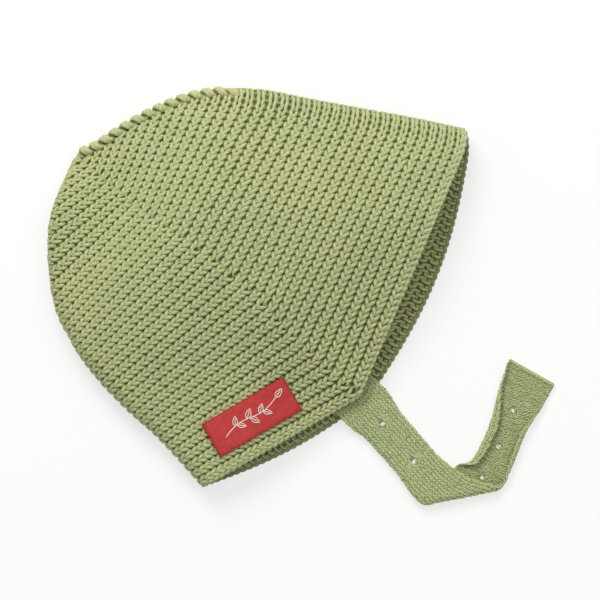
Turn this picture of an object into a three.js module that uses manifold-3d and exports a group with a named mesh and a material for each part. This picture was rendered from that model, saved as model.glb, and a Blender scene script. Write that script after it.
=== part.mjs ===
// Baby bonnet: a knitted cap lying on its side with a chin strap, a woven label and a button.
// Millimetres, +Z up. The lower side of the cap lies on the plane z = 0. The cap is a hollow shell of one
// thickness round a mid wall, and the strap is a flat strip rolled along its edges and round one crease.
import * as THREE from 'three';
import { mergeVertices } from 'three/addons/utils/BufferGeometryUtils.js';
import Module from 'manifold-3d';

const wasm = await Module();
wasm.setup();

// ---- driving dimensions ----
const WALL = 3; // thickness of the cap's knitting
const WALE_WIDTH = 4.2; // one column of stitches at the rim
const RIM_WALE = 37; // columns of stitches from the crown corner to the face and neck edge
const FOLD_RADIUS = 5; // radius of the soft folds along the top and the back, at mid wall
const FOLD_RAMP = 4; // columns over which the fold opens out of the flat crown corner
const FACE_BOW = 8.6; // how far the lower side's face edge lies outside the upper side's
const NECK_BOW = 3.4; // the same at the neck edge
const BOW_POWER = 3; // how the bow fades from the rim to the crown corner
const CHIN_SHIFT = [3.5, -1.5]; // the lower side's chin corner from the upper side's

// Rings of the cap, each a column of stitches that runs from the top fold round the mitre to the
// back fold. high is how far the upper side's mid wall stands over the surface that the cap lies on,
// halfway from the top fold to the mitre, at the mitre, and halfway from there to the back fold.
const RINGS = [
  { wale: 0, top: [-96.0, 61.6], mitre: [-96.0, 61.6], back: [-96.0, 61.6], high: [1.5, 1.5, 1.5] },
  { wale: 5, top: [-72.2, 76.3], mitre: [-82.3, 50.3], back: [-106.7, 33.1], high: [13.5, 14.5, 13.5] },
  { wale: 10, top: [-45.8, 87.7], mitre: [-67.9, 38.3], back: [-105.2, 1.3], high: [20, 21.5, 19] },
  { wale: 15, top: [-20.2, 89.8], mitre: [-52.5, 28.1], back: [-97.2, -17.4], high: [24, 26.5, 22] },
  { wale: 20, top: [4.2, 85.6], mitre: [-34.2, 15.1], back: [-87.2, -32.0], high: [26.5, 28.5, 22.5] },
  { wale: 25, top: [25.2, 81.7], mitre: [-16.9, -0.4], back: [-73.8, -46.2], high: [26.5, 26.5, 20.5] },
  { wale: 30, top: [46.7, 77.8], mitre: [-0.9, -17.2], back: [-59.8, -58.9], high: [25, 20.5, 17] },
  { wale: 37, top: [74.2, 71.9], mitre: [25.8, -42.1], back: [-40.6, -80.0], high: [20, 8.5, 11.5] },
];
const RING_ROWS = 26; // facets from the crown corner to the rim
const ROLL_FACETS = 3; // facets round each quarter fold
const PANEL_FACETS = 12; // facets from there to the mitre
const CAVITY_START = 4.5; // column where the hollow begins inside the crown corner
const CROWN_CROWDING = 1.15; // how much closer the facets lie at the crown corner
const RIM_ANGLES = [45, 90, 135].map(THREE.MathUtils.degToRad); // facets of the rounded rim

// The strap, by length from the chin corner. heading is the way it lies before it is folded over,
// lift is added to its height, inner and outer say how far each side edge is rolled up, from 0 to 1.
const STRAP_WIDTH = 22.5;
const STRAP_WALL = 2;
const STRAP = [
  { at: -7, heading: -46, lift: -0.4, outer: 0, inner: 0 },
  { at: 0, heading: -44.5, lift: -0.3, outer: 0.1, inner: 0.1 },
  { at: 9, heading: -47, lift: -0.6, outer: 0.45, inner: 0.45 },
  { at: 13, heading: -50, lift: -0.9, outer: 0.6, inner: 0.6 },
  { at: 25, heading: -48, lift: -1.05, outer: 0.65, inner: 0.65 },
  { at: 36, heading: -51, lift: -0.95, outer: 0.65, inner: 0.65 },
  { at: 45, heading: -46, lift: -0.4, outer: 0.5, inner: 0.5 },
  { at: 52, heading: -40, lift: 0, outer: 0.35, inner: 0.35 },
  { at: 59, heading: -27, lift: 0, outer: 0.15, inner: 0.15 },
  { at: 66, heading: -15, lift: 0, outer: 0, inner: 0.1 },
  { at: 71, heading: -21, lift: 0, outer: 0, inner: 0.3 },
  { at: 78, heading: -36, lift: 0, outer: 0.9, inner: 0.6 },
  { at: 88, heading: -44, lift: 0, outer: 1, inner: 0.75 },
  { at: 99, heading: -46, lift: 0, outer: 1, inner: 0.75 },
  { at: 110, heading: -43, lift: 0, outer: 0.7, inner: 0.45 },
  { at: 124.4, heading: -38, lift: 0, outer: 0.3, inner: 0.1 },
];
const STRAP_START = [25.5, -40.6]; // the chin corner, where the strap leaves the cap
const CREASE_AT = 59.6; // where the fold crosses the middle of the strap
const CREASE_ANGLE = 11.3; // the fold's own direction, in degrees
const CREASE_RADIUS = 1.9; // at mid wall
const CREASE_HEIGHT = 2.9; // height of the fold's axis
const ROLL_RADIUS = 1.8; // of the rolled side edges, at mid wall
const ROLL_LENGTH = 5.75; // the width of edge that a full roll takes up
const STRAP_ROWS = [[-7, 14], [43, 24], [78, 14], [124.4, 0]]; // stretches of the strap and facets in each
const LEAN = 1.4; // how far the facets lean over to follow the crease, at the crease
const LEAN_REACH = 30; // and the length of strap on either side over which they do
const STRAP_COLUMNS = 10; // facets across it
const EYELETS = [13.4, 34.4, 74.2, 89.1, 106.2]; // their places along the strap
const EYELET_DIAMETER = 2.2;

const LABEL = { centre: [-20.6, -50.1], angle: 30.1, width: 40.3, height: 16.3, thick: 0.8, gap: 0.4 };
const LABEL_COLUMNS = 12;
const LABEL_ROWS = 5;

const BUTTON = { centre: [7.5, -25], diameter: 12, thick: 3, gap: 0.3 };
const BUTTON_TABLE = 10; // radius of cap lifted level over the button
const BUTTON_SKIRT = 17; // radius at which the cap is back on the surface

const YARN_GREEN = 0xa9ae75;
const LABEL_RED = 0xb8352f;
const BUTTON_GREEN = 0x8f9a62;

// ---- small helpers ----
const lerp = (a, b, t) => a + (b - a) * t;
const mix = (a, b, t) => a.map((v, k) => lerp(v, b[k], t));
const away = (a, b) => Math.hypot(b[0] - a[0], b[1] - a[1]);
const smooth = (t) => {
  const c = Math.min(Math.max(t, 0), 1);
  return c * c * (3 - 2 * c);
};
const radians = THREE.MathUtils.degToRad;

// A smooth curve through one column of a table: cubic pieces whose slope at each row is that of the
// line between the rows on either side.
function along(rows, key, column, at) {
  const last = rows.length - 1;
  let k = 0;
  while (k < last - 1 && at > rows[k + 1][key]) k += 1;
  const value = (j) => [rows[j][column]].flat();
  const slope = (j) => {
    const a = Math.max(j - 1, 0);
    const b = Math.min(j + 1, last);
    return value(b).map((v, n) => (v - value(a)[n]) / (rows[b][key] - rows[a][key]));
  };
  const span = rows[k + 1][key] - rows[k][key];
  const t = (at - rows[k][key]) / span;
  const [p, q, u, v] = [value(k), value(k + 1), slope(k), slope(k + 1)];
  const [start, end] = [(1 - t) ** 2 * (1 + 2 * t), t ** 2 * (3 - 2 * t)];
  const [leave, arrive] = [(1 - t) ** 2 * t * span, t ** 2 * (t - 1) * span];
  return p.map((_, n) => start * p[n] + leave * u[n] + end * q[n] + arrive * v[n]);
}

// A closed mesh from its corner points and its triangles.
function closedMesh(points, faces) {
  const geometry = new THREE.BufferGeometry();
  geometry.setAttribute('position', new THREE.Float32BufferAttribute(points.flat(), 3));
  geometry.setIndex(faces.flat());
  return geometry;
}

// Triangles between two closed rows of size points each, which start at a and b.
function band(a, b, size) {
  return Array.from({ length: size }, (_, k) => {
    const next = (k + 1) % size;
    return [[a + k, a + next, b + next], [a + k, b + next, b + k]];
  }).flat();
}

function toManifold(geometry) {
  const bare = geometry.clone();
  bare.deleteAttribute('normal');
  bare.deleteAttribute('uv');
  const merged = mergeVertices(bare, 1e-4);
  return new wasm.Manifold(new wasm.Mesh({
    numProp: 3,
    vertProperties: new Float32Array(merged.attributes.position.array),
    triVerts: new Uint32Array(merged.index.array),
  }));
}

function fromManifold(body) {
  const mesh = body.getMesh();
  const geometry = new THREE.BufferGeometry();
  geometry.setAttribute('position', new THREE.BufferAttribute(new Float32Array(mesh.vertProperties), 3));
  geometry.setIndex(new THREE.BufferAttribute(new Uint32Array(mesh.triVerts), 1));
  return geometry;
}

// ---- cap ----
// Distance from a fold, measured on the cloth, to distance in plan and height over the fold's axis:
// a quarter circle, then level.
function rolled(distance, radius) {
  const quarter = (radius * Math.PI) / 2;
  if (distance >= quarter) return { plan: radius + distance - quarter, rise: radius };
  const angle = radius > 0 ? distance / radius : 0;
  return { plan: radius * (1 - Math.cos(angle)), rise: radius * Math.sin(angle) };
}

const ring = (column, wale) => along(RINGS, 'wale', column, wale);
const foldRadius = (wale) => FOLD_RADIUS * (1 - Math.exp(-wale / FOLD_RAMP));

// Height that the lower side is lifted by over the button: level, then a smooth skirt.
function buttonLift(point) {
  const reach = (BUTTON_SKIRT - away(point, BUTTON.centre)) / (BUTTON_SKIRT - BUTTON_TABLE);
  return (BUTTON.thick + BUTTON.gap) * smooth(reach);
}

// Upper side's height over its folds: the three sine waves that meet the ring's three heights.
function dome(wale, turn, base) {
  const [face, ridge, neck] = ring('high', wale).map((height) => height - base);
  const sum = (face + neck) / Math.SQRT2;
  return ((sum + ridge) / 2) * Math.sin(Math.PI * turn) + ((face - neck) / 2) * Math.sin(2 * Math.PI * turn)
    + ((sum - ridge) / 2) * Math.sin(3 * Math.PI * turn);
}

// A point of the mid wall. turn goes from 0 at the top fold through 1/2 at the mitre to 1 at the back.
function midWall(wale, turn, upper) {
  const radius = foldRadius(wale);
  const facing = turn <= 0.5;
  const edge = ring(facing ? 'top' : 'back', wale);
  const grown = (wale / RIM_WALE) ** BOW_POWER;
  const shift = upper ? [0, 0] : CHIN_SHIFT.map((v) => v * grown);
  const corner = ring('mitre', wale).map((v, k) => v + shift[k]);
  const length = away(edge, corner);
  const share = facing ? 2 * turn : 2 - 2 * turn;
  const { plan, rise } = rolled(share * (length + radius * (Math.PI / 2 - 1)), radius);
  const point = length > 0 ? mix(edge, corner, plan / length) : [...edge];
  if (upper) return [...point, WALL / 2 + radius + rise + dome(wale, turn, WALL / 2 + 2 * radius)];
  const bow = (facing ? FACE_BOW : -NECK_BOW) * grown * Math.sin((Math.PI * plan) / (length || 1));
  point[0] -= (bow * (corner[1] - edge[1])) / (length || 1);
  point[1] += (bow * (corner[0] - edge[0])) / (length || 1);
  return [...point, WALL / 2 + radius - rise + buttonLift(point)];
}

// Places round one ring, once over the upper side and back under the lower side, closer on the folds.
function turnsOf(wale) {
  const radius = foldRadius(wale);
  const side = (column) => {
    const length = away(ring(column, wale), ring('mitre', wale)) + radius * (Math.PI / 2 - 1);
    const roll = Math.min((radius * Math.PI) / 2 / (length || 1), 0.5);
    const near = Array.from({ length: ROLL_FACETS }, (_, k) => (roll * k) / ROLL_FACETS);
    return near.concat(Array.from({ length: PANEL_FACETS }, (_, k) => lerp(roll, 1, k / PANEL_FACETS)));
  };
  const front = side('top').map((f) => f / 2);
  const rear = side('back').map((f) => 1 - f / 2);
  const over = [...front, 0.5, ...rear.slice(1).reverse()];
  const under = [...rear, 0.5, ...front.slice(1).reverse()];
  const placed = (turns, upper) => turns.map((turn) => ({ turn, upper }));
  return [...placed(over, true), ...placed(under, false)];
}

// A ring of the wall's face, some way outside the mid wall and past its end.
function wallRing(wale, offset, past) {
  const places = turnsOf(wale);
  const count = places.length;
  const mid = (at, place) => new THREE.Vector3(...midWall(at, place.turn, place.upper));
  const step = 0.05;
  return places.map((place, k) => {
    const before = mid(wale, places[(k + count - 1) % count]);
    const round = mid(wale, places[(k + 1) % count]).sub(before).normalize();
    const growth = mid(wale + step, place).sub(mid(Math.max(wale - step, 0), place));
    const normal = new THREE.Vector3().crossVectors(round, growth).normalize();
    const outward = new THREE.Vector3().crossVectors(normal, round);
    return mid(wale, place).addScaledVector(normal, offset).addScaledVector(outward, past).toArray();
  });
}

// The cap: its outer face from the crown corner to the rim, a rounded rim, and its inner face back to
// where the hollow begins.
function capGeometry() {
  const half = WALL / 2;
  const last = RIM_WALE - half / WALE_WIDTH;
  const wales = Array.from({ length: RING_ROWS }, (_, k) => last * ((k + 1) / RING_ROWS) ** CROWN_CROWDING);
  const rim = RIM_ANGLES.map((angle) => wallRing(last, half * Math.cos(angle), half * Math.sin(angle)));
  const inner = wales.filter((wale) => wale > CAVITY_START).reverse();
  const outside = wales.map((wale) => wallRing(wale, half, 0));
  const rows = [...outside, ...rim, ...inner.map((wale) => wallRing(wale, -half, 0))];
  const size = rows[0].length;
  const points = rows.flat();
  const faces = rows.slice(1).flatMap((_, r) => band(r * size, (r + 1) * size, size));
  const corner = RINGS[0].mitre;
  const inward = [ring('mitre', 1)[0] - corner[0], ring('mitre', 1)[1] - corner[1]];
  const reach = half / Math.hypot(...inward);
  points.push([corner[0] - inward[0] * reach, corner[1] - inward[1] * reach, half]);
  const end = rows.at(-1);
  points.push([0, 1, 2].map((axis) => end.reduce((sum, point) => sum + point[axis], 0) / size));
  for (let k = 0; k < size; k += 1) {
    const next = (k + 1) % size;
    const from = (rows.length - 1) * size;
    faces.push([points.length - 2, next, k], [points.length - 1, from + k, from + next]);
  }
  return closedMesh(points, faces);
}

// ---- strap ----
const onStrap = (at) => THREE.MathUtils.clamp(at, STRAP[0].at, STRAP.at(-1).at);
const strap = (column, at) => along(STRAP, 'at', column, onStrap(at))[0];
const unit = (degrees) => [Math.cos(radians(degrees)), Math.sin(radians(degrees))];

// The strap's middle line laid out flat, before it is folded over.
const STRAP_STEP = 0.5;
const strapLine = [{ at: STRAP[0].at, point: [0, 0] }];
while (strapLine.at(-1).at < STRAP.at(-1).at) {
  const { at, point } = strapLine.at(-1);
  const way = unit(strap('heading', at + STRAP_STEP / 2));
  strapLine.push({ at: at + STRAP_STEP, point: point.map((v, k) => v + way[k] * STRAP_STEP) });
}
const flatMiddle = (at) => along(strapLine, 'at', 'point', at);
const strapOrigin = STRAP_START.map((v, k) => v - flatMiddle(0)[k]);
const creasePoint = flatMiddle(CREASE_AT).map((v, k) => v + strapOrigin[k]);

// A point of the flat strip, carried round the crease: level above, half a turn, and level below.
// side is the distance across the strip and off the height over its knit face's mid wall.
function folded(at, side, off) {
  const way = unit(strap('heading', at));
  const middle = flatMiddle(at).map((v, k) => v + strapOrigin[k]);
  const from = [middle[0] - way[1] * side - creasePoint[0], middle[1] + way[0] * side - creasePoint[1]];
  const line = unit(CREASE_ANGLE);
  const lengthwise = from[0] * line[0] + from[1] * line[1];
  const past = from[0] * line[1] - from[1] * line[0];
  const quarter = (CREASE_RADIUS * Math.PI) / 2;
  const angle = Math.min(Math.max(past / CREASE_RADIUS, -Math.PI / 2), Math.PI / 2);
  const level = Math.max(Math.abs(past) - quarter, 0);
  const outside = (CREASE_RADIUS + off) * Math.cos(angle) - level;
  return [
    creasePoint[0] + lengthwise * line[0] + outside * line[1],
    creasePoint[1] + lengthwise * line[1] - outside * line[0],
    CREASE_HEIGHT - (CREASE_RADIUS + off) * Math.sin(angle) + strap('lift', at),
  ];
}

// Section of the strap: a level web whose side edges roll towards the purl face. across goes from -1
// to 1, off is the distance outside the mid wall. Returns the place across and the height.
function rolledEdge(at, across, off) {
  const full = STRAP_WIDTH / 2;
  const amount = strap(across < 0 ? 'outer' : 'inner', at);
  const web = full - ROLL_LENGTH * Math.max(amount, 0);
  const distance = Math.abs(across) * full;
  const angle = Math.max(distance - web, 0) / ROLL_RADIUS;
  const side = Math.min(distance, web) + (ROLL_RADIUS + off) * Math.sin(angle);
  return [Math.sign(across) * side, (ROLL_RADIUS + off) * Math.cos(angle) - ROLL_RADIUS];
}

function strapGeometry() {
  const half = STRAP_WALL / 2;
  const columns = Array.from({ length: STRAP_COLUMNS + 1 }, (_, k) => (2 * k) / STRAP_COLUMNS - 1);
  const section = [...columns.map((v) => [v, -half]), ...columns.map((v) => [-v, half])];
  const stations = STRAP_ROWS.slice(1).flatMap(([end], k) => {
    const [start, count] = STRAP_ROWS[k];
    return Array.from({ length: count }, (_, n) => lerp(start, end, n / count));
  });
  stations.push(STRAP.at(-1).at);
  const points = stations.flatMap((station) => section.map(([across, off]) => {
    const lean = LEAN * smooth(1 - Math.abs(station - CREASE_AT) / LEAN_REACH);
    const at = station + (lean * across * STRAP_WIDTH) / 2;
    return folded(at, ...rolledEdge(at, across, off));
  }));
  const size = section.length;
  const rows = stations.length - 1;
  const faces = Array.from({ length: rows }, (_, r) => band(r * size, (r + 1) * size, size)).flat();
  for (let k = 0; k < STRAP_COLUMNS; k += 1) {
    const [a, b, c, d] = [k, k + 1, size - 2 - k, size - 1 - k];
    const end = rows * size;
    faces.push([a, c, b], [a, d, c], [end + a, end + b, end + c], [end + a, end + c, end + d]);
  }
  const body = toManifold(closedMesh(points, faces));
  const holes = EYELETS.map((at) => {
    const hole = new THREE.CylinderGeometry(EYELET_DIAMETER / 2, EYELET_DIAMETER / 2, 4 * STRAP_WALL, 10);
    const [x, y, z] = folded(at, 0, 0);
    return toManifold(hole.rotateX(Math.PI / 2).translate(x, y, z));
  });
  return fromManifold(holes.reduce((left, hole) => left.subtract(hole), body));
}

// ---- label ----
// The column and turn of the upper side that lie under a point, found by stepping closer.
function placeUnder(point) {
  let place = [34, 0.8];
  for (let step = 0; step < 12; step += 1) {
    const here = midWall(...place, true);
    const byWale = midWall(place[0] + 0.01, place[1], true).map((v, k) => (v - here[k]) / 0.01);
    const byTurn = midWall(place[0], place[1] + 0.001, true).map((v, k) => (v - here[k]) / 0.001);
    const miss = [point[0] - here[0], point[1] - here[1]];
    const area = byWale[0] * byTurn[1] - byWale[1] * byTurn[0];
    place = [
      place[0] + (miss[0] * byTurn[1] - miss[1] * byTurn[0]) / area,
      place[1] + (byWale[0] * miss[1] - byWale[1] * miss[0]) / area,
    ];
  }
  return place;
}

// A thin slab that lies along the upper side's outer face.
function labelGeometry() {
  const [way, up] = [unit(LABEL.angle), unit(LABEL.angle + 90)];
  const grid = (height) => Array.from({ length: (LABEL_COLUMNS + 1) * (LABEL_ROWS + 1) }, (_, n) => {
    const u = ((n % (LABEL_COLUMNS + 1)) / LABEL_COLUMNS - 0.5) * LABEL.width;
    const v = (Math.floor(n / (LABEL_COLUMNS + 1)) / LABEL_ROWS - 0.5) * LABEL.height;
    const point = LABEL.centre.map((c, k) => c + u * way[k] + v * up[k]);
    return [...point, midWall(...placeUnder(point), true)[2] + WALL / 2 + height];
  });
  const under = grid(LABEL.gap);
  const points = [...under, ...grid(LABEL.gap + LABEL.thick)];
  const wide = LABEL_COLUMNS + 1;
  const faces = [];
  const quad = (a, b, c, d) => faces.push([a, b, c], [a, c, d]);
  for (let j = 0; j < LABEL_ROWS; j += 1) {
    for (let k = 0; k < LABEL_COLUMNS; k += 1) {
      const [a, b, c, d] = [j * wide + k, j * wide + k + 1, (j + 1) * wide + k + 1, (j + 1) * wide + k];
      quad(d, c, b, a);
      quad(...[a, b, c, d].map((n) => n + under.length));
    }
  }
  const edge = [];
  for (let k = 0; k < LABEL_COLUMNS; k += 1) edge.push(k);
  for (let j = 0; j < LABEL_ROWS; j += 1) edge.push(j * wide + LABEL_COLUMNS);
  for (let k = LABEL_COLUMNS; k > 0; k -= 1) edge.push(LABEL_ROWS * wide + k);
  for (let j = LABEL_ROWS; j > 0; j -= 1) edge.push(j * wide);
  edge.forEach((a, k) => {
    const b = edge[(k + 1) % edge.length];
    quad(a, b, b + under.length, a + under.length);
  });
  return closedMesh(points, faces);
}

// ---- button ----
// A plain disc with rounded edges, turned round its middle.
function buttonGeometry() {
  const radius = BUTTON.diameter / 2;
  const round = BUTTON.thick / 3;
  const profile = [
    [0, 0], [radius - round, 0], [radius - round * 0.3, round * 0.3], [radius, round],
    [radius, BUTTON.thick - round], [radius - round * 0.3, BUTTON.thick - round * 0.3],
    [radius - round, BUTTON.thick], [0, BUTTON.thick],
  ];
  const geometry = new THREE.LatheGeometry(profile.map(([x, y]) => new THREE.Vector2(x, y)), 24);
  return geometry.rotateX(Math.PI / 2).rotateZ(Math.PI);
}

// ---- assembly ----
function piece(name, geometry, color, roughness) {
  const material = new THREE.MeshStandardMaterial({ color, roughness, metalness: 0 });
  const mesh = new THREE.Mesh(geometry, material);
  mesh.name = name;
  return mesh;
}

const bonnet = new THREE.Group();
bonnet.add(piece('cap', capGeometry(), YARN_GREEN, 0.9));
bonnet.add(piece('strap', strapGeometry(), YARN_GREEN, 0.9));
bonnet.add(piece('label', labelGeometry(), LABEL_RED, 0.6));
const button = piece('button', buttonGeometry(), BUTTON_GREEN, 0.4);
button.position.set(...BUTTON.centre, 0);
bonnet.add(button);

// The origin is the middle of the whole bonnet's outline, on the surface that it lies on.
const bounds = new THREE.Box3().setFromObject(bonnet);
const middle = bounds.getCenter(new THREE.Vector3());
bonnet.position.set(-middle.x, -middle.y, 0);

export default bonnet;
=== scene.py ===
import bpy
import numpy as np
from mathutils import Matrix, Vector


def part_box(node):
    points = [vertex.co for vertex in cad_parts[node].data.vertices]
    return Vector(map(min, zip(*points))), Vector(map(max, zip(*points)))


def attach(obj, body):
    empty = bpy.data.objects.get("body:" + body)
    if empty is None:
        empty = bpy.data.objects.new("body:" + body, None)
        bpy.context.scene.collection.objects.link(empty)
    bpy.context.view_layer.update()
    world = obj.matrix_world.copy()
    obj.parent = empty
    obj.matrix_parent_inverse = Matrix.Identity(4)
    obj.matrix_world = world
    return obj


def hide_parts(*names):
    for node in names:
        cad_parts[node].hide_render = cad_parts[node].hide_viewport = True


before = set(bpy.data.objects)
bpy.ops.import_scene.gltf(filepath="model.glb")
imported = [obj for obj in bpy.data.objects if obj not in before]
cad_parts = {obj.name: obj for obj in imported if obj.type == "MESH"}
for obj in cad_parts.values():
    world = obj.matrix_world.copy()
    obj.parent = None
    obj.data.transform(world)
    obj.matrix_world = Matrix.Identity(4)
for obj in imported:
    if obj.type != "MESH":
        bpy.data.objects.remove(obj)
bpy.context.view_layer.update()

# ---- the cap ----
# The cap is hand-knitted in stocking stitch from one thick soft cotton yarn. Its columns of stitches
# run in rings round the crown corner, from the top fold over the mitre to the back fold and back
# underneath. Rows cross the rings, and short rows that turn at the mitre give it its shape.
MM = 0.001  # sizes below are in millimetres
BUTTON_CENTRE = (7.5, -25.0)  # the button in the cap's own plan
button_low, button_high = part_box("button")
PLAN_SHIFT = np.array([
    (button_low.x + button_high.x) / 2 / MM - BUTTON_CENTRE[0],
    (button_low.y + button_high.y) / 2 / MM - BUTTON_CENTRE[1],
    0.0,
])

WALL = 3.0
COLUMNS = 37  # columns of stitches from the crown corner to the face and neck edge
EDGE_COLUMN = 36.75  # where the last yarns lie, so that their loops end at the edge
FOLD_RADIUS = 5.0
FOLD_RAMP = 4.0  # columns over which the fold's radius grows
FIRST_COLUMN = 0.02  # no ring is smaller than this one
FACE_BOW = 8.6
NECK_BOW = 3.4
CHIN_SHIFT = np.array([3.5, -1.5])
BUTTON_LIFT, BUTTON_TABLE, BUTTON_SKIRT = 3.3, 10.0, 17.0

# Rings by column: plan of the top fold, mitre and back fold, and the upper side's three heights.
RING_AT = np.array([0, 5, 10, 15, 20, 25, 30, 37.0])
RING_TOP = np.array([
    [-96, 61.6], [-72.2, 76.3], [-45.8, 87.7], [-20.2, 89.8],
    [4.2, 85.6], [25.2, 81.7], [46.7, 77.8], [74.2, 71.9],
])
RING_MITRE = np.array([
    [-96, 61.6], [-82.3, 50.3], [-67.9, 38.3], [-52.5, 28.1],
    [-34.2, 15.1], [-16.9, -0.4], [-0.9, -17.2], [25.8, -42.1],
])
RING_BACK = np.array([
    [-96, 61.6], [-106.7, 33.1], [-105.2, 1.3], [-97.2, -17.4],
    [-87.2, -32], [-73.8, -46.2], [-59.8, -58.9], [-40.6, -80],
])
RING_HIGH = np.array([
    [1.5, 1.5, 1.5], [13.5, 14.5, 13.5], [20, 21.5, 19], [24, 26.5, 22],
    [26.5, 28.5, 22.5], [26.5, 26.5, 20.5], [25, 20.5, 17], [20, 8.5, 11.5],
])
# Rows counted from the fold at each of those rings: the row that lies on the fold, which is above 0
# where rows run out into the crown, and the row that meets the mitre.
FACE_ROWS = np.array([
    [12.9, 12.9], [6.75, 16.4], [1.7, 20.1], [0, 23.1], [0, 27], [0, 31.2], [0, 35.8], [0, 42.5],
])
NECK_ROWS = np.array([
    [19.5, 19.5], [10, 20.6], [2.9, 21.7], [0.6, 23.4], [0, 25], [0, 26], [0, 26.6], [0, 27.5],
])


def read_table(at, keys, rows):
    """A smooth curve through a table: cubic pieces from row to row, each row's slope that of the line
    between its neighbours."""
    slopes = np.empty(rows.shape)
    spans = np.diff(keys)
    slopes[1:-1] = (rows[2:] - rows[:-2]) / (keys[2:] - keys[:-2])[:, None]
    slopes[0] = (rows[1] - rows[0]) / spans[0]
    slopes[-1] = (rows[-1] - rows[-2]) / spans[-1]
    k = np.clip(np.searchsorted(keys, at, side="left") - 1, 0, len(keys) - 2)
    span = spans[k][..., None]
    t = (np.asarray(at) - keys[k])[..., None] / span
    start, end = (1 - t) ** 2 * (1 + 2 * t), t**2 * (3 - 2 * t)
    leave, arrive = (1 - t) ** 2 * t * span, t**2 * (t - 1) * span
    return start * rows[k] + leave * slopes[k] + end * rows[k + 1] + arrive * slopes[k + 1]


def smooth_step(t):
    """0 below 0, 1 above 1, and 3t^2 - 2t^3 between."""
    t = np.clip(t, 0, 1)
    return t * t * (3 - 2 * t)


def cap_wall(column, turn):
    """Mid wall of the cap. turn is 0 at the top fold, 1/2 at the mitre, 1 at the back fold, and goes
    on underneath to 2. In plan a point lies on the line from fold to mitre; near the fold its
    distance becomes a quarter circle. Above, three sine waves along the ring add the dome; below,
    the ring bows outwards towards the rim and lifts over the button."""
    column = np.maximum(column, FIRST_COLUMN)
    wrapped = np.mod(turn, 2.0)
    above = wrapped <= 1
    part = np.where(above, wrapped, 2 - wrapped)
    facing = part <= 0.5
    radius = FOLD_RADIUS * (1 - np.exp(-column / FOLD_RAMP))
    grown = (column / COLUMNS) ** 3
    edge = np.where(
        facing[..., None],
        read_table(column, RING_AT, RING_TOP),
        read_table(column, RING_AT, RING_BACK),
    )
    corner = read_table(column, RING_AT, RING_MITRE)
    corner = corner + np.where(above, 0, grown)[..., None] * CHIN_SHIFT
    reach = corner - edge
    length = np.maximum(np.hypot(reach[..., 0], reach[..., 1]), 1e-3)
    distance = np.where(facing, 2 * part, 2 - 2 * part) * (length + radius * (np.pi / 2 - 1))
    angle = np.minimum(distance / radius, np.pi / 2)
    plan = radius * (1 - np.cos(angle)) + np.maximum(distance - radius * np.pi / 2, 0)
    rise = radius * np.sin(angle)
    point = edge + reach * (plan / length)[..., None]
    base = WALL / 2 + 2 * radius
    face, ridge, neck = np.moveaxis(read_table(column, RING_AT, RING_HIGH) - base[..., None], -1, 0)
    both = (face + neck) / np.sqrt(2)
    dome = (
        (both + ridge) / 2 * np.sin(np.pi * part)
        + (face - neck) / 2 * np.sin(2 * np.pi * part)
        + (both - ridge) / 2 * np.sin(3 * np.pi * part)
    )
    bow = np.where(facing, FACE_BOW, -NECK_BOW) * grown * np.sin(np.pi * plan / length)
    bow = np.where(above, 0, bow) / length
    point = point + np.stack([-reach[..., 1], reach[..., 0]], -1) * bow[..., None]
    away = np.hypot(point[..., 0] - BUTTON_CENTRE[0], point[..., 1] - BUTTON_CENTRE[1])
    lift = BUTTON_LIFT * smooth_step((BUTTON_SKIRT - away) / (BUTTON_SKIRT - BUTTON_TABLE))
    height = WALL / 2 + radius + np.where(above, rise + dome, lift - rise)
    return np.concatenate([point, height[..., None]], -1)


def unit(v):
    """The vector divided by its length."""
    return v / np.maximum(np.linalg.norm(v, axis=-1, keepdims=True), 1e-9)


SLOPE_TURN, SLOPE_COLUMN = 0.004, 0.08  # the short steps from which slopes are taken


def cap_cloth(column, turn, off):
    """A point some way outside the mid wall, along the normal, which is the cross product of the
    way round the ring and the way out from the crown. Returns the point and the normal."""
    around = cap_wall(column, turn + SLOPE_TURN) - cap_wall(column, turn - SLOPE_TURN)
    growth = cap_wall(column + SLOPE_COLUMN, turn) - cap_wall(column - SLOPE_COLUMN, turn)
    normal = unit(np.cross(around, growth))
    return cap_wall(column, turn) + normal * off[..., None], normal


# Stitches lie half a row off the row numbers. At each column the last rows before the mitre stretch a
# little, so that a whole number of them ends there.
COLUMN_MIDDLES = (np.arange(COLUMNS) + 0.5) * EDGE_COLUMN / COLUMNS
FITTED_ROWS = 3.0


def row_limits(rows):
    """Row on the fold, row at the mitre, and that second one as a whole number, at each column."""
    fold, mitre = read_table(COLUMN_MIDDLES, RING_AT, rows).T
    return np.maximum(fold, 0), mitre, np.round(mitre)


def ring_share(column, row, rows):
    """Share of the cloth from the fold (0) to the mitre (1) at a row: the row less the fold's row,
    over the rows between, apart from the last three rows, which end on a whole number."""
    fold, mitre, whole = (np.interp(column, COLUMN_MIDDLES, v) for v in row_limits(rows))
    count = np.maximum(mitre - fold, 0.5)
    begin = np.maximum(mitre - FITTED_ROWS, fold)
    plain = (row - fold) / count
    at_begin = (begin - fold) / count
    fitted = at_begin + (row - begin) / np.maximum(whole - begin, 0.3) * (1 - at_begin)
    return np.where(row > begin, fitted, plain)


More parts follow.
